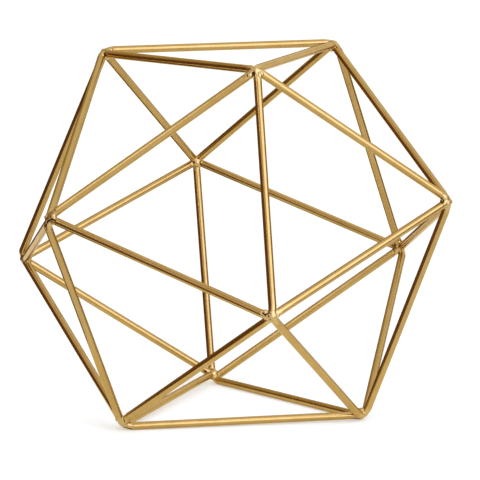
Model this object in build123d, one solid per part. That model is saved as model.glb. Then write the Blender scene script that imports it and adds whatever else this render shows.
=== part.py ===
# Open wire ornament: thirty round rods welded at twelve joints into a twenty-faced
# solid that stands on one of its triangles. Millimetres, +Z up, the front towards -Y.
# The origin is on the ground, in the middle of the footprint.
import os
from math import cos, pi, sin, sqrt

from build123d import *

# Driving sizes
rod_length = 100.0  # from joint centre to joint centre
rod_diameter = 3.25  # drawn wire, ten gauge
core_reach = 0.6  # from a joint's centre to where the melted rod ends run together
collar_thickness = 0.3  # of filler round each melted rod end at the core
bead_thickness = 1.3  # of the ball of filler in each joint, over a rod's radius
bead_depth = 1.6  # from a joint's centre inwards to the middle of its ball of filler
weld_margin = 0.2  # from the far side of that ball out to where the bare rods begin
pad_thickness = 0.25  # of the filler under each base joint, over a rod's radius
pad_inset = 1.5  # from a base joint's centre to the middle of its pad

rod_radius = rod_diameter / 2
collar_radius = rod_radius + collar_thickness
bead_radius = rod_radius + bead_thickness
pad_radius = rod_radius + pad_thickness
weld_reach = bead_depth + bead_radius + weld_margin  # from a joint's centre to its bare rods
on_base = (Align.CENTER, Align.CENTER, Align.MIN)

# The regular solid on a triangular face, as shares of the rod length: the radius of its
# top and base triangles and of its two rings of joints, and their heights over its middle
triangle_radius_share = 1 / sqrt(3)
ring_radius_share = triangle_radius_share * (1 + sqrt(5)) / 2
corner_radius_share = sin(2 * pi / 5)
triangle_height_share = sqrt(corner_radius_share**2 - triangle_radius_share**2)
ring_height_share = sqrt(corner_radius_share**2 - ring_radius_share**2)

# Each level of joints: the shares of its radius and height
level_shares = {
    "top": (triangle_radius_share, triangle_height_share),
    "upper": (ring_radius_share, ring_height_share),
    "lower": (ring_radius_share, -ring_height_share),
    "base": (triangle_radius_share, -triangle_height_share),
}

# The joints of each level, a third of a turn apart, from the one straight in front or behind
level_joints = {
    "top": ("front", "right", "left"),
    "upper": ("back", "left", "right"),
    "lower": ("front", "right", "left"),
    "base": ("back", "left", "right"),
}

# The frame is welded by hand, so each joint sits a little off the regular solid: across,
# back and up, as shares of the rod length. The base joints stand as high as their rods let
# them, so their last share is nothing.
joint_offset_shares = {
    "top_front": (0, -0.010, -0.015),
    "top_right": (-0.005, -0.005, -0.010),
    "top_left": (0.005, -0.020, -0.015),
    "upper_right": (0.010, -0.005, -0.010),
    "upper_back": (-0.005, -0.005, -0.010),
    "upper_left": (-0.010, -0.010, -0.025),
    "lower_front": (0.005, 0.005, -0.015),
    "lower_right": (0.020, 0, -0.005),
    "lower_left": (-0.020, 0.010, 0.005),
    "base_right": (0.005, 0.010, 0),
    "base_back": (0.005, 0.005, 0),
    "base_left": (-0.005, 0.020, 0),
}

# Each rod runs between two joints. Rods can't all end on one point, so each end sits beside
# the joint's centre: across and up, as shares of the rod's radius, first end and last end.
rod_seat_shares = {
    ("top_left", "top_right"): ((0, 0.1), (0, 0.25)),
    ("top_front", "top_left"): ((0, 0), (0, -0.75)),
    ("top_front", "top_right"): ((0, 0.1), (0, -0.1)),
    ("top_left", "upper_back"): ((-0.2, 0), (-0.25, 0)),
    ("top_right", "upper_back"): ((0, 0.2), (0, -0.1)),
    ("top_left", "upper_left"): ((-0.05, 0), (0.2, 0)),
    ("top_front", "upper_left"): ((0, -0.45), (0, 0.25)),
    ("top_front", "upper_right"): ((0, 0.3), (0, 0.55)),
    ("top_right", "upper_right"): ((-0.45, 0), (0, 0)),
    ("top_front", "lower_front"): ((0.6, 0), (0.25, 0)),
    ("top_left", "lower_left"): ((0.4, 0), (-1.1, 0)),
    ("top_right", "lower_right"): ((0.75, 0), (-0.25, 0)),
    ("upper_left", "lower_front"): ((0, 0.2), (0, -0.2)),
    ("upper_right", "lower_front"): ((0, 0.15), (0, 0.25)),
    ("upper_right", "lower_right"): ((0, -0.45), (0, 0.45)),
    ("upper_back", "lower_right"): ((0, -0.1), (0, 0.15)),
    ("upper_back", "lower_left"): ((0, -0.25), (0, 0.3)),
    ("upper_left", "lower_left"): ((0.65, 0), (0.45, 0)),
    ("upper_left", "base_left"): ((-0.75, 0), (-0.1, 0)),
    ("upper_right", "base_right"): ((0.15, 0), (0.3, 0)),
    ("upper_back", "base_back"): ((0, 0), (0, 0)),
    ("lower_front", "base_left"): ((0, 0.1), (0, 1)),
    ("lower_front", "base_right"): ((0, 0), (-0.75, 0)),
    ("lower_left", "base_left"): ((0.25, 0), (0.4, 0)),
    ("lower_left", "base_back"): ((0, 0.1), (0, 0.65)),
    ("lower_right", "base_right"): ((0.7, 0), (0.25, 0)),
    ("lower_right", "base_back"): ((0, 0.4), (0, -0.75)),
    ("base_left", "base_right"): ((0, -0.45), (0, 0.45)),
    ("base_back", "base_right"): ((0, -0.6), (0, 0)),
    ("base_back", "base_left"): ((0, 0.85), (0, 0)),
}


# The joints
def lowest_base_seat_share(joint):
    """How far the lowest base rod of a base joint sits above the joint's centre."""
    seats = []
    for (first, last), (first_seat, last_seat) in rod_seat_shares.items():
        if first.startswith("base") and last.startswith("base"):
            if joint == first:
                seats.append(first_seat[1])
            if joint == last:
                seats.append(last_seat[1])
    return min(seats)


def joint_direction(level, place):
    """The joint's direction from the upright axis."""
    places = level_joints[level]
    first_direction = -pi / 2 if places[0] == "front" else pi / 2
    return first_direction + 2 * pi / 3 * places.index(place)


def joint_point(level, place):
    """The joint's centre, over the ground that the lowest base rods lie on."""
    joint = f"{level}_{place}"
    radius_share, height_share = level_shares[level]
    direction = joint_direction(level, place)
    across, back, up = joint_offset_shares[joint]
    height = rod_radius + rod_length * (triangle_height_share + height_share + up)
    if level == "base":
        height = rod_radius * (1 - lowest_base_seat_share(joint))
    return Vector(
        rod_length * (radius_share * cos(direction) + across),
        rod_length * (radius_share * sin(direction) + back),
        height,
    )


joints = {
    f"{level}_{place}": joint_point(level, place)
    for level, places in level_joints.items()
    for place in places
}
middle = Vector(0, 0, rod_radius + rod_length * triangle_height_share)


# The rods
def seat_point(joint, seat_shares):
    """Where the rod's axis passes the joint."""
    across, up = seat_shares
    return joints[joint] + Vector(rod_radius * across, 0, rod_radius * up)


def rod_axis(first, last):
    """The two points that the rod's axis runs between."""
    first_seat, last_seat = rod_seat_shares[(first, last)]
    return seat_point(first, first_seat), seat_point(last, last_seat)


def make_rod(first, last):
    """The straight length of wire between the two welds."""
    start, end = rod_axis(first, last)
    wire_length = (end - start).length - 2 * weld_reach
    wire = Pos(0, 0, weld_reach) * Cylinder(rod_radius, wire_length, align=on_base)
    return Plane(origin=start, z_dir=end - start).location * wire


# The welds
def melted_ends(joint):
    """The ends of the rods that meet at the joint, thickened by filler towards the core."""
    taper_length = weld_reach - core_reach
    taper = Cone(collar_radius, rod_radius, taper_length, align=on_base)
    ends = []
    for first, last in rod_seat_shares:
        if joint in (first, last):
            start, end = rod_axis(first, last)
            if joint == last:
                start, end = end, start
            along_rod = Plane(origin=start, z_dir=end - start).location
            ends.append(along_rod * Pos(0, 0, core_reach) * taper)
    return ends


def filler_ball(centre, radius, inwards):
    """A ball of filler metal, with its poles level and square to the way inwards."""
    level_side = inwards.cross(Vector(0, 0, 1))
    return Plane(origin=centre, z_dir=level_side).location * Sphere(radius)


def ground_below(centre):
    """All that lies under the ground round a base joint, cut off when it is dressed flat."""
    width = 4 * weld_reach
    block = Box(width, width, width, align=(Align.CENTER, Align.CENTER, Align.MAX))
    return Pos(centre.X, centre.Y, 0) * block


def make_weld(joint):
    """The nugget that holds the five rods of a joint."""
    centre = joints[joint]
    inwards = (middle - centre).normalized()
    weld = filler_ball(centre + inwards * bead_depth, bead_radius, inwards)
    weld = weld + melted_ends(joint)
    if joint.startswith("base"):
        level_inwards = Vector(inwards.X, inwards.Y, 0).normalized()
        pad_centre = Vector(centre.X, centre.Y, rod_radius) + level_inwards * pad_inset
        weld = weld + filler_ball(pad_centre, pad_radius, inwards)
        weld = weld - ground_below(centre)
    return weld


# The whole ornament, moved so that the origin is in the middle of the footprint
pieces = {}
for first, last in rod_seat_shares:
    pieces[f"rod_{first}_to_{last}"] = make_rod(first, last)
for joint in joints:
    pieces[f"weld_{joint}"] = make_weld(joint)

boxes = [piece.bounding_box() for piece in pieces.values()]
to_origin = Pos(
    -(min(box.min.X for box in boxes) + max(box.max.X for box in boxes)) / 2,
    -(min(box.min.Y for box in boxes) + max(box.max.Y for box in boxes)) / 2,
    -min(box.min.Z for box in boxes),
)

os.makedirs("parts", exist_ok=True)
for name, piece in pieces.items():
    export_step(to_origin * piece, os.path.join("parts", f"{name}.step"))

for joint, centre in joints.items():
    place = centre + to_origin.position
    print(f"{joint}: {place.X:.2f}, {place.Y:.2f}, {place.Z:.2f}")
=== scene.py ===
import random
from math import cos, radians, sin

import bmesh
import bpy
from mathutils import Matrix, Vector, noise
from mathutils.bvhtree import BVHTree


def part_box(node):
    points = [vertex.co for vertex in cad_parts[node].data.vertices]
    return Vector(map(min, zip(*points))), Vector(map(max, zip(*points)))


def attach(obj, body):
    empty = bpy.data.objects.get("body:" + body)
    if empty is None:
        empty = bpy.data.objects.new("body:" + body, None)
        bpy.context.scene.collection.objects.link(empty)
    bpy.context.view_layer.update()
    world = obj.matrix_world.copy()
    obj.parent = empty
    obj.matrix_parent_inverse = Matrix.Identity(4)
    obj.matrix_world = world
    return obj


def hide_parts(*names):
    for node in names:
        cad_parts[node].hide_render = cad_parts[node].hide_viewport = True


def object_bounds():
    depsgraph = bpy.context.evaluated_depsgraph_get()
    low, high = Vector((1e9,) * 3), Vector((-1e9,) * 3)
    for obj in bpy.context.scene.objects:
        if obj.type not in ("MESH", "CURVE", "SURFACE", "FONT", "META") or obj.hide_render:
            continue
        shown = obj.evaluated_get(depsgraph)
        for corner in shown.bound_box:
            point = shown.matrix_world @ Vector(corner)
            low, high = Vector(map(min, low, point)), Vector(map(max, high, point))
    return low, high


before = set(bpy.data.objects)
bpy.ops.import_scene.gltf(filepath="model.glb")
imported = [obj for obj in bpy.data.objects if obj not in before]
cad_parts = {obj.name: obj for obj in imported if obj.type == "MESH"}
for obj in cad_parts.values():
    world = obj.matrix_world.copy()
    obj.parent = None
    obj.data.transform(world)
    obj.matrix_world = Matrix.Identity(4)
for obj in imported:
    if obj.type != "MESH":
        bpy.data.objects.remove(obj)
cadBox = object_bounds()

scene = bpy.context.scene
mm = 0.001
print("frame loaded:", len(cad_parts), "nodes")


# camera, at the photo's angle: a long lens from the front, a little above the middle
camera = {
    "aim": (3.67 * mm, -1.18 * mm, 73.38 * mm),
    "distance": 1.3046,
    "azimuth": -9.51,    # degrees round from the front, with the right side at 90
    "elevation": 9.50,
    "roll": -0.37,
    "lens": 233.83,
    "sensor": 36.0,
    "clipEnd": 100,
}


def backTowards(azimuth, elevation):    # the way from the object to an eye or a lamp
    a, e = radians(azimuth), radians(elevation)
    return Vector((sin(a) * cos(e), -cos(a) * cos(e), sin(e)))


def facing(target, azimuth, elevation, distance):
    back = backTowards(azimuth, elevation)
    turn = (-back).to_track_quat("-Z", "Y").to_matrix().to_4x4()
    return Matrix.Translation(target + back * distance) @ turn


def makeCamera(s):
    data = bpy.data.cameras.new("photoCamera")
    data.lens = s["lens"]
    data.sensor_width = s["sensor"]
    data.sensor_fit = "HORIZONTAL"
    data.clip_end = s["clipEnd"]
    obj = bpy.data.objects.new("photoCamera", data)
    scene.collection.objects.link(obj)
    place = facing(Vector(s["aim"]), s["azimuth"], s["elevation"], s["distance"])
    obj.matrix_world = place @ Matrix.Rotation(radians(s["roll"]), 4, "Z")
    scene.camera = obj


makeCamera(camera)
print("camera set")


# node helpers
def newMaterial(name):
    mat = bpy.data.materials.new(name)
    mat.use_nodes = True
    mat.node_tree.nodes.clear()
    return mat, mat.node_tree


def node(tree, kind, inputs=None, **values):
    n = tree.nodes.new(kind)
    for key, value in values.items():
        setattr(n, key, value)
    for key, value in (inputs or {}).items():
        if isinstance(value, bpy.types.NodeSocket):
            tree.links.new(value, n.inputs[key])
        else:
            n.inputs[key].default_value = value
    return n


def mathNode(tree, operation, a, b, clamp=False):
    return node(tree, "ShaderNodeMath", {0: a, 1: b}, operation=operation, use_clamp=clamp).outputs[0]


def plusPart(tree, base, mask, share):    # the base, and more of it where the mask is
    return mathNode(tree, "ADD", base, mathNode(tree, "MULTIPLY", mask, share))


def rangeNode(tree, value, low, high, outLow=0.0, outHigh=1.0, smooth=True):
    inputs = {"Value": value, "From Min": low, "From Max": high, "To Min": outLow, "To Max": outHigh}
    kind = "SMOOTHSTEP" if smooth else "LINEAR"
    return node(tree, "ShaderNodeMapRange", inputs, interpolation_type=kind).outputs["Result"]


def mixColour(tree, factor, a, b):
    return node(tree, "ShaderNodeMix", {0: factor, 6: a, 7: b}, data_type="RGBA").outputs[2]


# studio: white floor and surround, a broad soft key and a small fill, and cards for the metal
studio = {
    "middle": (0, 0, 77 * mm),
    "floorHalf": 12.0,
    "floorDrop": 0.05 * mm,     # of the wide floor, which the metal doesn't show, under the sheet
    "sheetRadius": 0.11,        # of the round sheet, the floor that the metal shows
    "sheetSides": 96,
    "floorColour": (0.80, 0.80, 0.80, 1),
    "floorGlow": (0.33, 0.45),  # lifts the floor to white for the eye, near the object and far from it
    "glowReach": (0.1, 1.0),    # where near ends and far begins, in metres from the middle
    "glowColour": (1.0, 1.0, 0.86, 1),
    "metalFloor": (0.81, 0.79, 0.65, 1),    # the floor as the metal shows it, warmer
    "metalGlow": 0.27,          # and dimmer
    "surround": (0.78, 0.78, 0.78, 1),  # the soft light from all round
    "white": (1.0, 1.0, 1.0, 1),        # what the eye sees of it
    "cardDistance": 3.0,
    "cardGap": 0.05,            # how much nearer each card is than the one before
    "cardMesh": (10, 3),        # degrees across and up that one face of a card spans
}
lamps = [
    {"name": "softKey", "azimuth": 30, "elevation": 28, "distance": 0.9,
     "size": (1.04, 1.12), "power": 4.9, "colour": (0.94, 1.0, 1.45)},
    {"name": "softFill", "azimuth": -50, "elevation": 35, "distance": 0.9,
     "size": (0.26, 0.22), "power": 0.42, "colour": (0.85, 1.0, 1.27)},
]
# the dark room round the table, by azimuth and elevation, the nearer cards last
cards = [
    {"name": "leftCard", "azimuth": (-160, -40), "elevation": (-35, 42),
     "colour": (0.24, 0.11, 0.04, 1)},
    {"name": "horizonCard", "azimuth": (140, 320), "elevation": (-14, 16),
     "colour": (0.16, 0.08, 0.035, 1)},
    {"name": "rightCard", "azimuth": (60, 115), "elevation": (-8, 16),
     "colour": (0.24, 0.16, 0.06, 1)},
    {"name": "overheadCard", "azimuth": (-80, 0), "elevation": (28, 90),
     "colour": (0.72, 0.60, 0.50, 1)},
    {"name": "lowBackCard", "azimuth": (-180, -100), "elevation": (-90, -35),
     "colour": (0.12, 0.11, 0.03, 1)},
    {"name": "backCard", "azimuth": (-180, -120), "elevation": (16, 60),
     "colour": (0.55, 0.46, 0.28, 1)},
    {"name": "tableGlint", "azimuth": (-120, -100), "elevation": (-35, -20),
     "colour": (1.8, 1.75, 1.7, 1)},
]


def seenByEye(tree):    # camera, mirror and glass rays
    path = node(tree, "ShaderNodeLightPath")
    seen = mathNode(tree, "ADD", path.outputs["Is Camera Ray"], path.outputs["Is Glossy Ray"])
    return mathNode(tree, "ADD", seen, path.outputs["Is Transmission Ray"], clamp=True)


def addMeshObject(name, bm):
    mesh = bpy.data.meshes.new(name)
    bm.to_mesh(mesh)
    bm.free()
    obj = bpy.data.objects.new(name, mesh)
    scene.collection.objects.link(obj)
    return obj


def whitePaper(s):
    mat, tree = newMaterial("paleFloor")
    glossy = node(tree, "ShaderNodeLightPath").outputs["Is Glossy Ray"]
    colour = mixColour(tree, glossy, s["floorColour"], s["metalFloor"])
    paper = node(tree, "ShaderNodeBsdfDiffuse", {"Color": colour})
    place = node(tree, "ShaderNodeTexCoord").outputs["Object"]
    away = node(tree, "ShaderNodeVectorMath", {0: place}, operation="LENGTH").outputs["Value"]
    eyeGlow = rangeNode(tree, away, *s["glowReach"], *s["floorGlow"])
    bothGlow = rangeNode(tree, glossy, 0, 1, eyeGlow, s["metalGlow"], smooth=False)
    strength = mathNode(tree, "MULTIPLY", seenByEye(tree), bothGlow)
    glow = node(tree, "ShaderNodeEmission", {"Color": s["glowColour"], "Strength": strength})
    both = node(tree, "ShaderNodeAddShader", {0: paper.outputs[0], 1: glow.outputs[0]})
    node(tree, "ShaderNodeOutputMaterial", {"Surface": both.outputs[0]})
    return mat


def makeFloor(s):
    paper = whitePaper(s)
    bm = bmesh.new()
    bmesh.ops.create_grid(bm, x_segments=2, y_segments=2, size=s["floorHalf"],
                          matrix=Matrix.Translation((0, 0, -s["floorDrop"])))
    floor = addMeshObject("studioFloor", bm)
    floor.visible_glossy = False
    bm = bmesh.new()
    bmesh.ops.create_circle(bm, cap_ends=True, segments=s["sheetSides"], radius=s["sheetRadius"])
    sheet = addMeshObject("studioSheet", bm)
    for part in (floor, sheet):
        part.data.materials.append(paper)


def makeSurround(s):
    world = bpy.data.worlds.new("studioSurround")
    scene.world = world
    world.use_nodes = True
    tree = world.node_tree
    tree.nodes.clear()
    colour = mixColour(tree, seenByEye(tree), s["surround"], s["white"])
    shell = node(tree, "ShaderNodeBackground", {"Color": colour, "Strength": 1.0})
    node(tree, "ShaderNodeOutputWorld", {"Surface": shell.outputs[0]})


def makeLamp(lamp, target):
    data = bpy.data.lights.new(lamp["name"], "AREA")
    data.shape = "RECTANGLE"
    data.size, data.size_y = lamp["size"]
    data.energy = lamp["power"]
    data.color = lamp["colour"]
    obj = bpy.data.objects.new(lamp["name"], data)
    scene.collection.objects.link(obj)
    obj.matrix_world = facing(target, lamp["azimuth"], lamp["elevation"], lamp["distance"])


def makeCard(card, target, distance, meshStep):    # only the metal sees a card
    (a0, a1), (e0, e1) = card["azimuth"], card["elevation"]
    across, up = (a1 - a0) // meshStep[0], (e1 - e0) // meshStep[1]
    bm = bmesh.new()
    bmesh.ops.create_grid(bm, x_segments=across, y_segments=up, size=0.5)
    for v in bm.verts:
        azimuth = a0 + (a1 - a0) * (v.co.x + 0.5)
        elevation = e0 + (e1 - e0) * (v.co.y + 0.5)
        v.co = target + backTowards(azimuth, elevation) * distance
    obj = addMeshObject(card["name"], bm)
    mat, tree = newMaterial(card["name"])
    felt = node(tree, "ShaderNodeEmission", {"Color": card["colour"], "Strength": 1.0})
    node(tree, "ShaderNodeOutputMaterial", {"Surface": felt.outputs[0]})
    obj.data.materials.append(mat)
    obj.visible_camera = obj.visible_diffuse = obj.visible_shadow = False
    obj.visible_transmission = obj.visible_volume_scatter = False


def makeStudio(s):
    makeFloor(s)
    makeSurround(s)
    target = Vector(s["middle"])
    for lamp in lamps:
        makeLamp(lamp, target)
    for i, card in enumerate(cards):
        makeCard(card, target, s["cardDistance"] - s["cardGap"] * i, s["cardMesh"])


makeStudio(studio)
scene.view_settings.view_transform = "Standard"
print("studio set")


# gold finish
gold = {
    "colour": (0.548, 0.366, 0.130, 1),
    "colourDeep": (0.488, 0.314, 0.101, 1),
    "colourFiller": (0.61, 0.43, 0.18, 1),
    # painted shade: darkens the welds' hollows, cuts and the rims of drops, where shade falls
    "colourPaintedShade": (0.050, 0.022, 0.007, 1),
    "edgeTint": (1.0, 0.90, 0.70, 1),
    "roughness": 0.14,
    "roughnessDull": 0.19,
    "roughnessFiller": 0.25,
    "roughnessPaintedShade": 0.50,
    "cloudScale": 95.0,
    "grainScale": 2600.0,
    "grainHeight": 0.0015,      # heights in mm
    "grainRange": (0.3, 0.7),   # of the noise that makes the drawn lines
    "grainDepth": 0.30,         # how far the lines turn to the deep colour
    "grainStretch": 0.03,       # their scale along a wire, as a share of that across it
    "weldStretch": 0.5,
    "waveScale": 70.0,
    "waveHeight": 0.035,
    "speckScale": 620.0,
    "speckHeight": -0.006,
    "speckDepth": 0.45,         # how far a speck turns to the deep colour
    "speckRoughness": 0.12,     # added to the roughness round it
}


def groupSocket(tree, name, way, kind="NodeSocketFloat", value=None):
    socket = tree.interface.new_socket(name=name, in_out=way, socket_type=kind)
    if value is not None:
        socket.default_value = value


def newGroup(name, inputs, outputs):
    tree = bpy.data.node_groups.new(name, "ShaderNodeTree")
    groupSocket(tree, "Vector", "INPUT", "NodeSocketVector")
    for key, value in inputs.items():
        groupSocket(tree, key, "INPUT", value=value)
    for key in outputs:
        groupSocket(tree, key, "OUTPUT")
    return tree, node(tree, "NodeGroupInput").outputs, node(tree, "NodeGroupOutput").inputs


def cloudGroup():    # broad patches where the plating is thicker or thinner
    tree, start, end = newGroup("platingClouds", {"Scale": 95.0, "Low": 0.35, "High": 0.68}, ("Mask",))
    cloud = node(tree, "ShaderNodeTexNoise", {"Vector": start["Vector"], "Scale": start["Scale"],
                                              "Detail": 3.0, "Roughness": 0.55})
    mask = rangeNode(tree, cloud.outputs["Fac"], start["Low"], start["High"])
    tree.links.new(mask, end["Mask"])
    return tree


def grainGroup():    # fine drawn lines along Z, and the slow waves of straightened wire
    tree, start, end = newGroup("drawnGrain", {"Scale": 2600.0, "Stretch": 0.03, "Wave Scale": 70.0},
                                ("Lines", "Waves"))
    stretch = node(tree, "ShaderNodeCombineXYZ", {"X": 1.0, "Y": 1.0, "Z": start["Stretch"]})
    drawn = node(tree, "ShaderNodeVectorMath", {0: start["Vector"], 1: stretch.outputs[0]},
                 operation="MULTIPLY")
    lines = node(tree, "ShaderNodeTexNoise", {"Vector": drawn.outputs[0], "Scale": start["Scale"],
                                              "Detail": 2.0, "Roughness": 0.6})
    waves = node(tree, "ShaderNodeTexNoise", {"Vector": start["Vector"], "Scale": start["Wave Scale"],
                                              "Detail": 1.5, "Roughness": 0.5})
    tree.links.new(lines.outputs["Fac"], end["Lines"])
    tree.links.new(waves.outputs["Fac"], end["Waves"])
    return tree


def speckGroup():    # small pits in the plating, in a share of the cells
    inputs = {"Scale": 620.0, "Share": 0.16, "Core": 0.12, "Edge": 0.42}
    tree, start, end = newGroup("platingSpecks", inputs, ("Mask",))
    cells = node(tree, "ShaderNodeTexVoronoi", {"Vector": start["Vector"], "Scale": start["Scale"],
                                                "Randomness": 1.0}, feature="F1")
    few = node(tree, "ShaderNodeSeparateColor", {"Color": cells.outputs["Color"]})
    chosen = mathNode(tree, "LESS_THAN", few.outputs["Red"], start["Share"])
    dot = rangeNode(tree, cells.outputs["Distance"], start["Core"], start["Edge"], 1.0, 0.0)
    mask = mathNode(tree, "MULTIPLY", chosen, dot)
    tree.links.new(mask, end["Mask"])
    return tree


platingClouds = cloudGroup()
drawnGrain = grainGroup()
platingSpecks = speckGroup()


def goldMaterial(name, s, turn=None, place=None, melted=False):
    mat, tree = newMaterial(name)
    vector = node(tree, "ShaderNodeTexCoord").outputs["Object"]
    if turn:    # the grain follows the wire
        inputs = {"Vector": vector, "Rotation": turn, "Location": place}
        vector = node(tree, "ShaderNodeMapping", inputs, vector_type="POINT").outputs[0]
    clouds = node(tree, "ShaderNodeGroup", {"Vector": vector, "Scale": s["cloudScale"]},
                  node_tree=platingClouds).outputs["Mask"]
    inputs = {"Vector": vector, "Scale": s["grainScale"], "Wave Scale": s["waveScale"],
              "Stretch": s["grainStretch"] if turn else s["weldStretch"]}
    grain = node(tree, "ShaderNodeGroup", inputs, node_tree=drawnGrain).outputs
    specks = node(tree, "ShaderNodeGroup", {"Vector": vector, "Scale": s["speckScale"]},
                  node_tree=platingSpecks).outputs["Mask"]
    colour = mixColour(tree, clouds, s["colourDeep"], s["colour"])
    lines = rangeNode(tree, grain["Lines"], *s["grainRange"], 0.0, s["grainDepth"], smooth=False)
    colour = mixColour(tree, lines, colour, s["colourDeep"])
    pits = mathNode(tree, "MULTIPLY", specks, s["speckDepth"])
    colour = mixColour(tree, pits, colour, s["colourDeep"])
    rough = rangeNode(tree, clouds, 0, 1, s["roughnessDull"], s["roughness"], smooth=False)
    rough = plusPart(tree, rough, specks, s["speckRoughness"])
    if melted:    # the filler is paler and duller than the wire, and painted shade darkens its hollows, cuts and the rims of its drops
        for attribute, look in (("melt", "Filler"), ("shadeMask", "PaintedShade")):
            share = node(tree, "ShaderNodeAttribute", attribute_name=attribute).outputs["Fac"]
            colour = mixColour(tree, share, colour, s["colour" + look])
            rough = plusPart(tree, rough, share, s["roughness" + look] - s["roughness"])
    height = mathNode(tree, "MULTIPLY", grain["Waves"], s["waveHeight"])
    height = plusPart(tree, height, grain["Lines"], s["grainHeight"])
    height = plusPart(tree, height, specks, s["speckHeight"])
    bump = node(tree, "ShaderNodeBump", {"Height": height, "Distance": mm, "Strength": 1.0})
    metal = node(tree, "ShaderNodeBsdfPrincipled", {
        "Metallic": 1.0, "Base Color": colour, "Roughness": rough, "Normal": bump.outputs[0],
        "Specular Tint": s["edgeTint"]})
    node(tree, "ShaderNodeOutputMaterial", {"Surface": metal.outputs[0]})
    return mat


# rods: the CAD wires stay, each with the finish turned along it
rodNames = sorted(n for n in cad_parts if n.startswith("rod_"))
weldNames = sorted(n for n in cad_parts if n.startswith("weld_"))
endSlice = 0.3 * mm    # how deep the points of one end of a wire may lie


def jointsOf(rodName):
    return rodName.removeprefix("rod_").split("_to_")


def boxMiddle(points):
    low = Vector(min(p[i] for p in points) for i in range(3))
    high = Vector(max(p[i] for p in points) for i in range(3))
    return (low + high) / 2


def rodEnds(name):    # the middle of each end of a bare wire, first end first
    a, b = (sum(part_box("weld_" + joint), Vector()) / 2 for joint in jointsOf(name))
    along = (b - a).normalized()
    points = [v.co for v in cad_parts[name].data.vertices]
    depths = [p.dot(along) for p in points]
    low, high = min(depths) + endSlice, max(depths) - endSlice
    start = [p for p, d in zip(points, depths) if d < low]
    end = [p for p, d in zip(points, depths) if d > high]
    return boxMiddle(start), boxMiddle(end)


wires = {name: rodEnds(name) for name in rodNames}
for name, (start, end) in wires.items():
    turn = (end - start).rotation_difference(Vector((0, 0, 1))).to_euler()
    place = -(turn.to_matrix() @ start)
    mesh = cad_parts[name].data
    mesh.materials.clear()
    mesh.materials.append(goldMaterial("gold_" + name, gold, turn=turn, place=place))
print("rods finished:", len(wires))


# welds: nuggets of melted rod ends and filler
nugget = {
    "rodRadius": 1.625 * mm,
    "reach": 4.725 * mm,       # from a rod's seat at the joint to where the bare wire starts
    "sleeve": 0.5 * mm,        # how far the filler feathers out over the bare wire
    "sleeveHeight": 0.02 * mm,
    "bendStart": 3.7 * mm,     # the rod ends bend in towards their meeting point
    "bendEnd": 0.5 * mm,
    "sink": 0.45 * mm,         # how far inside the rods' own crossing they meet
    "swell": 1.02,             # how much thicker the melted ends are
    "stubSides": 10,           # bevel resolution of a rod end
    "stubSteps": 12,           # steps along its bend
    "apexRadius": 1.55 * mm,   # balls of filler: at the meeting point, and inside the frame from it
    "beadRadius": 2.3 * mm,
    "beadDepth": 1.2 * mm,
    "ballSteps": 4,
    "cell": 0.14 * mm,
    "smoothing": 18,
    "lump": 0.045 * mm,
    "lumpScale": 330,
    "fineLumps": (2.3, 0.5),   # how much finer and lower than the coarse lumps
    "lumpFade": (-1.6 * mm, -0.4 * mm),    # where each fades, from and to, counted from the reach
    "meltFade": (-2.0 * mm, 0.2 * mm),
    "gripFade": (-0.7 * mm, -0.1 * mm),
    "gripFrom": 0.6,           # points nearer a rod's axis than this share of its radius stay
    "shadeMask": (0.03, 0.15),   # how hollow, in cells, the surface is where the painted shade starts and is full
    "creviceSpread": 2,        # rounds of spreading it to the neighbours
    # how dark the painted shade gets in the hollows
    "hollowShade": 0.5,
    "rimShade": 0.12,           # painted shade round a drop
    "rimAt": 1.08,             # shares of the drop's radius
    "rimFade": (0.05, 0.25),
    # painted shade along a cut, full in its middle
    "cutShade": 0.95,
    "cutCore": 0.4,            # share of a cut's half width that is at full depth
}
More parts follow.
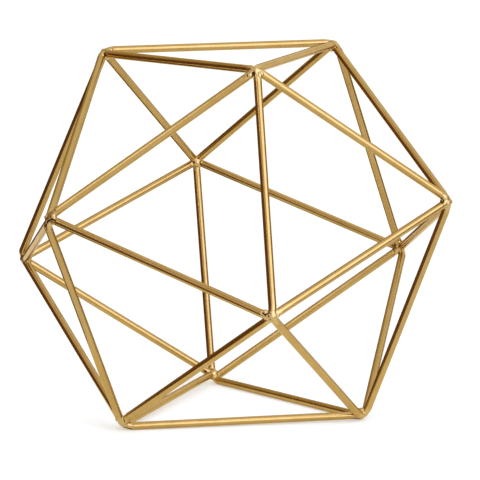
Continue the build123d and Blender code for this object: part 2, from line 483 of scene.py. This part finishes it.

# what the torch left on each joint, in mm right and up of its centre as the camera sees it: drops
# of filler (right, up, radius, height), which are hollows where the height is negative, cuts
# (right, up, right, up, half width, depth), which are grooves darkened with painted shade, and fillets
# that fill a corner (right, up, radius)
torchMarks = {
    "top_left": {"drops": [(-1.15, -0.95, 1.5, 0.3), (2.0, 1.2, 0.75, 0.35), (3.9, 1.1, 0.6, 0.28)],
                 "cuts": [(0.3, -0.2, 0.6, -1.75, 0.45, 0.6)]},
    "top_right": {"drops": [(1.7, -0.1, 0.9, 0.2)],
                  "cuts": [(0.65, -0.55, 1.3, -2.1, 0.35, 0.35)]},
    "top_front": {"drops": [(2.0, -1.95, 1.5, 0.6), (-2.35, -1.95, 1.1, 0.45), (-1.9, 1.0, 0.8, 0.2)],
                  "cuts": [(-0.85, -1.0, -0.75, -2.9, 0.65, 0.9), (4.2, -1.0, 2.9, -4.1, 0.3, 0.35)]},
    "upper_back": {"cuts": [(2.1, -1.1, 2.3, -2.0, 0.4, 0.4), (-0.6, -2.2, -0.6, -3.3, 0.35, 0.3)]},
    "upper_left": {"drops": [(1.65, 0.65, 1.1, 0.4)],
                   "cuts": [(-1.0, -1.7, -0.55, -1.0, 0.5, 0.35), (-0.55, -1.0, 1.0, -0.25, 0.5, 0.35),
                            (1.0, -0.25, 2.5, -0.8, 0.5, 0.3)]},
    "lower_left": {"drops": [(0.1, 3.3, 0.7, 0.35), (0.5, -0.7, 1.1, 0.2), (-2.1, 2.0, 1.7, -0.6)],
                   "cuts": [(1.05, 0.2, 1.8, 0.4, 0.35, 0.4)]},
    "upper_right": {"fillets": [(-1.5, 0.3, 1.7)],
                    "drops": [(-1.0, 1.4, 1.6, 0.3), (2.2, 0.1, 1.0, -0.4)],
                    "cuts": [(-2.75, 1.2, -2.3, 0.3, 0.55, 0.3), (-2.3, 0.3, -2.6, -0.5, 0.55, 0.3)]},
    "lower_right": {"drops": [(-0.65, 2.5, 0.7, 0.3)], "cuts": [(-3.9, 1.2, -2.3, 1.3, 0.45, 0.3)]},
    "lower_front": {"drops": [(-2.6, 2.4, 0.95, 0.45), (0.3, 0.65, 1.8, 0.3)],
                    "cuts": [(-4.6, 2.1, -2.8, 0.8, 0.5, 0.35), (-2.8, 0.8, -1.5, 1.5, 0.5, 0.35)]},
    # the cuts of depth 0.05 along the bottoms of base_left and base_right are nearly flat: painted
    # contact shadow
    "base_left": {"drops": [(-1.0, -1.9, 1.6, -0.7)],
                  "cuts": [(0.4, 2.3, 0.6, 1.0, 0.5, 0.6), (2.9, 0.2, 3.3, 0.4, 0.3, 0.4),
                           (0.8, -1.6, 3.4, -2.3, 0.5, 0.05)]},
    "base_right": {"drops": [(-0.2, 2.55, 0.75, 0.35), (1.0, -1.6, 1.5, -0.8)],
                   "cuts": [(-0.65, 1.7, 0.0, 1.0, 0.4, 0.4), (-4.2, -1.15, -1.2, -1.4, 0.5, 0.05)]},
    "base_back": {"drops": [(0.2, -0.7, 0.9, 0.35)], "cuts": [(-3.2, 1.7, -2.6, 1.2, 0.75, 0.6)]},
}

# drops on the side of each joint that the camera misses, also in mm
farDrops = {
    "count": 3,
    "radius": (0.6, 1.1),
    "height": (0.2, 0.4),
    "spread": 2.0,    # how far they lie off the joint's centre
    "facing": 0.2,    # their side faces outwards by more than this, and the camera by less
}
rayStart = 50 * mm    # from a joint's centre to where the rays that find its surface begin


def meetingRods(joint, s):    # seat and outward direction of each rod at a joint
    found = []
    for name, (start, end) in wires.items():
        first, last = jointsOf(name)
        if joint not in (first, last):
            continue
        if joint == last:
            start, end = end, start
        along = (end - start).normalized()
        found.append((start - along * s["reach"], along))
    return found


def meetingPoint(rods):    # nearest to all the rods' lines
    total, pull = Matrix.Diagonal((0, 0, 0)), Vector((0, 0, 0))
    for seat, along in rods:
        across = Matrix.Identity(3) - Matrix([along * a for a in along])
        total += across
        pull += across @ seat
    return total.inverted() @ pull


def addStub(bm, seat, along, centre, s):    # a rod end, bent in to the meeting point
    curve = bpy.data.curves.new("stub", "CURVE")
    curve.dimensions = "3D"
    curve.bevel_depth = s["rodRadius"]
    curve.bevel_resolution = s["stubSides"]
    curve.resolution_u = s["stubSteps"]
    curve.use_fill_caps = True
    far, near = s["reach"] + s["sleeve"], s["bendStart"]
    middle = seat.lerp(centre, 0.5) + along * (near + s["bendEnd"]) / 2
    points = [(seat + along * far, 1.0), (seat + along * near, 1.0),
              (middle, s["swell"]), (centre + along * s["bendEnd"], s["swell"])]
    spline = curve.splines.new("NURBS")
    spline.points.add(len(points) - 1)
    for point, (place, radius) in zip(spline.points, points):
        point.co = (*place, 1)
        point.radius = radius
    spline.use_endpoint_u = True
    spline.order_u = 3
    obj = bpy.data.objects.new("stub", curve)
    scene.collection.objects.link(obj)
    graph = bpy.context.evaluated_depsgraph_get()
    mesh = bpy.data.meshes.new_from_object(obj.evaluated_get(graph))
    bm.from_mesh(mesh)
    bpy.data.objects.remove(obj)
    bpy.data.curves.remove(curve)
    bpy.data.meshes.remove(mesh)


def addBall(bm, centre, radius, s):
    bmesh.ops.create_icosphere(bm, subdivisions=s["ballSteps"], radius=radius,
                               matrix=Matrix.Translation(centre))


def remeshed(bm, cell):
    joined = addMeshObject("melt", bm)
    mod = joined.modifiers.new("melt", "REMESH")
    mod.mode = "VOXEL"
    mod.voxel_size = cell
    graph = bpy.context.evaluated_depsgraph_get()
    melted = bpy.data.meshes.new_from_object(joined.evaluated_get(graph))
    bpy.data.meshes.remove(joined.data)
    result = bmesh.new()
    result.from_mesh(melted)
    bpy.data.meshes.remove(melted)
    return result


def cameraFrame():    # right, up and back to the eye
    back = backTowards(camera["azimuth"], camera["elevation"])
    side = Vector((0, 0, 1)).cross(back).normalized()
    return side, back.cross(side), back


def meltTogether(joint, rods, centre, inwards, s):    # rod ends, balls of filler and fillets
    bm = bmesh.new()
    for seat, along in rods:
        addStub(bm, seat, along, centre, s)
    addBall(bm, centre, s["apexRadius"], s)
    addBall(bm, centre + inwards * s["beadDepth"], s["beadRadius"], s)
    side, top = cameraFrame()[:2]
    for right, up, radius in torchMarks[joint].get("fillets", ()):
        addBall(bm, centre + (side * right + top * up) * mm, radius * mm, s)
    bm = remeshed(bm, s["cell"])
    core = [v for v in bm.verts if (v.co - centre).length < s["reach"]]
    for _ in range(s["smoothing"]):
        bmesh.ops.smooth_vert(bm, verts=core, factor=0.5, use_axis_x=True, use_axis_y=True,
                              use_axis_z=True)
    bm.normal_update()
    return bm


def nearestRod(point, rods):    # its seat and direction, and the point's place beside and along it
    best = None
    for seat, along in rods:
        depth = (point - seat).dot(along)
        side = point - seat - along * depth
        if depth > 0 and (best is None or side.length < best[2].length):
            best = (seat, along, side, depth)
    return best


def fade(value, low, high):    # from 0 at low to 1 at high
    return max(0.0, min(1.0, (value - low) / (high - low)))


def fadeAtReach(value, s, key):
    low, high = s[key]
    return fade(value, s["reach"] + low, s["reach"] + high)


def markCrevices(bm, s):    # how hollow the surface is at each point, spread a little: the mask of the painted shade
    layer = bm.verts.layers.float.new("shadeMask")
    hollow = {}
    for v in bm.verts:
        around = [e.other_vert(v).co for e in v.link_edges]
        pull = sum(around, Vector()) / len(around) - v.co
        hollow[v] = fade(pull.dot(v.normal) / s["cell"], *s["shadeMask"])
    for _ in range(s["creviceSpread"]):
        spread = {}
        for v, value in hollow.items():
            around = sum(hollow[e.other_vert(v)] for e in v.link_edges)
            spread[v] = (value + around) / (1 + len(v.link_edges))
        hollow = spread
    for v, value in hollow.items():
        v[layer] = value
    return layer


def surfacePoint(tree, centre, view, right, up):    # the near surface, looked at along the view
    side, top, back = view
    start = centre + (side * right + top * up) * mm + back * rayStart
    hit = tree.ray_cast(start, -back)[0]
    return hit or start - back * rayStart


def randomView(rng, outwards):    # a way to look at the joint from outside, off the camera's side
    limit = farDrops["facing"]
    while True:
        back = Vector(rng.gauss(0, 1) for _ in range(3)).normalized()
        if back.dot(outwards) > limit and back.dot(cameraFrame()[2]) < limit:
            side = back.orthogonal().normalized()
            return side, back.cross(side), back


def placeMarks(bm, joint, centre, outwards):    # the marks' points on the surface, in metres
    tree = BVHTree.FromBMesh(bm)
    marks = torchMarks[joint]
    eye = cameraFrame()
    drops = []
    for right, up, radius, height in marks.get("drops", ()):
        drops.append((surfacePoint(tree, centre, eye, right, up), radius * mm, height * mm))
    cuts = []
    for right0, up0, right1, up1, width, depth in marks.get("cuts", ()):
        start = surfacePoint(tree, centre, eye, right0, up0)
        end = surfacePoint(tree, centre, eye, right1, up1)
        cuts.append((start, end, width * mm, depth * mm))
    rng = random.Random(joint)
    spread = farDrops["spread"]
    for _ in range(farDrops["count"]):
        view = randomView(rng, outwards)
        right, up = rng.uniform(-spread, spread), rng.uniform(-spread, spread)
        radius, height = rng.uniform(*farDrops["radius"]), rng.uniform(*farDrops["height"])
        drops.append((surfacePoint(tree, centre, view, right, up), radius * mm, height * mm))
    return drops, cuts


def toSegment(point, a, b):    # how far the point is from the line between a and b
    along = b - a
    share = fade((point - a).dot(along), 0, along.length_squared)
    return (point - a - along * share).length


def lumpAt(point, centre, s):    # coarse and fine lumps, which end before the bare wire
    finer, share = s["fineLumps"]
    lump = noise.noise(point * s["lumpScale"]) + share * noise.noise(point * s["lumpScale"] * finer)
    return s["lump"] * (1 - fadeAtReach((point - centre).length, s, "lumpFade")) * lump


def addMarks(point, move, shade, drops, cuts, s):    # how the marks change the surface and its painted shade
    for place, radius, height in drops:
        span = (point - place).length / radius
        move += height * max(0.0, 1 - span * span) ** 0.5
        if height > 0:
            shade = max(shade, s["rimShade"] * (1 - fade(abs(span - s["rimAt"]), *s["rimFade"])))
    for start, end, width, depth in cuts:
        cut = 1 - fade(toSegment(point, start, end), s["cutCore"] * width, width)
        move -= depth * cut
        shade = max(shade, s["cutShade"] * cut)
    return move, shade


def shapeSurface(bm, rods, centre, drops, cuts, shadeMask, melt, s):
    for v in bm.verts:
        rod = nearestRod(v.co, rods)
        lump = lumpAt(v.co, centre, s)
        # painted shade starts in the hollows, and the cuts and drop rims add theirs
        move, shade = addMarks(v.co, lump, v[shadeMask] * s["hollowShade"], drops, cuts, s)
        v.co += v.normal * move
        v[shadeMask] = shade
        v[melt] = 1.0
        if rod:    # towards the bare wire the filler thins to a close sleeve
            seat, along, side, depth = rod
            v[melt] = 1 - fadeAtReach(depth, s, "meltFade")
            grip = fadeAtReach(depth, s, "gripFade")
            if grip > 0 and side.length > s["gripFrom"] * s["rodRadius"]:
                sleeveRadius = s["rodRadius"] + s["sleeveHeight"]
                wanted = seat + along * depth + side * (sleeveRadius / side.length)
                v.co = v.co.lerp(wanted, grip)
                v[shadeMask] *= 1 - grip
        v.co.z = max(v.co.z, 0.0)    # nothing reaches below the ground


def makeNugget(joint, s, middle, finish):
    rods = meetingRods(joint, s)
    centre = meetingPoint(rods)
    inwards = (middle - centre).normalized()
    centre += inwards * s["sink"]
    bm = meltTogether(joint, rods, centre, inwards, s)
    shadeMask = markCrevices(bm, s)
    melt = bm.verts.layers.float.new("melt")
    drops, cuts = placeMarks(bm, joint, centre, -inwards)
    shapeSurface(bm, rods, centre, drops, cuts, shadeMask, melt, s)
    bmesh.ops.recalc_face_normals(bm, faces=bm.faces)
    obj = addMeshObject("nugget_" + joint, bm)
    obj.data.shade_smooth()
    obj.data.materials.append(finish)
    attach(obj, "root")
    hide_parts("weld_" + joint)
    return obj


weldGold = goldMaterial("weldGold", gold, melted=True)
middle = sum(cadBox, Vector()) / 2
nuggets = [makeNugget(name.removeprefix("weld_"), nugget, middle, weldGold) for name in weldNames]
print("nuggets made:", len(nuggets), "faces", sum(len(o.data.polygons) for o in nuggets))
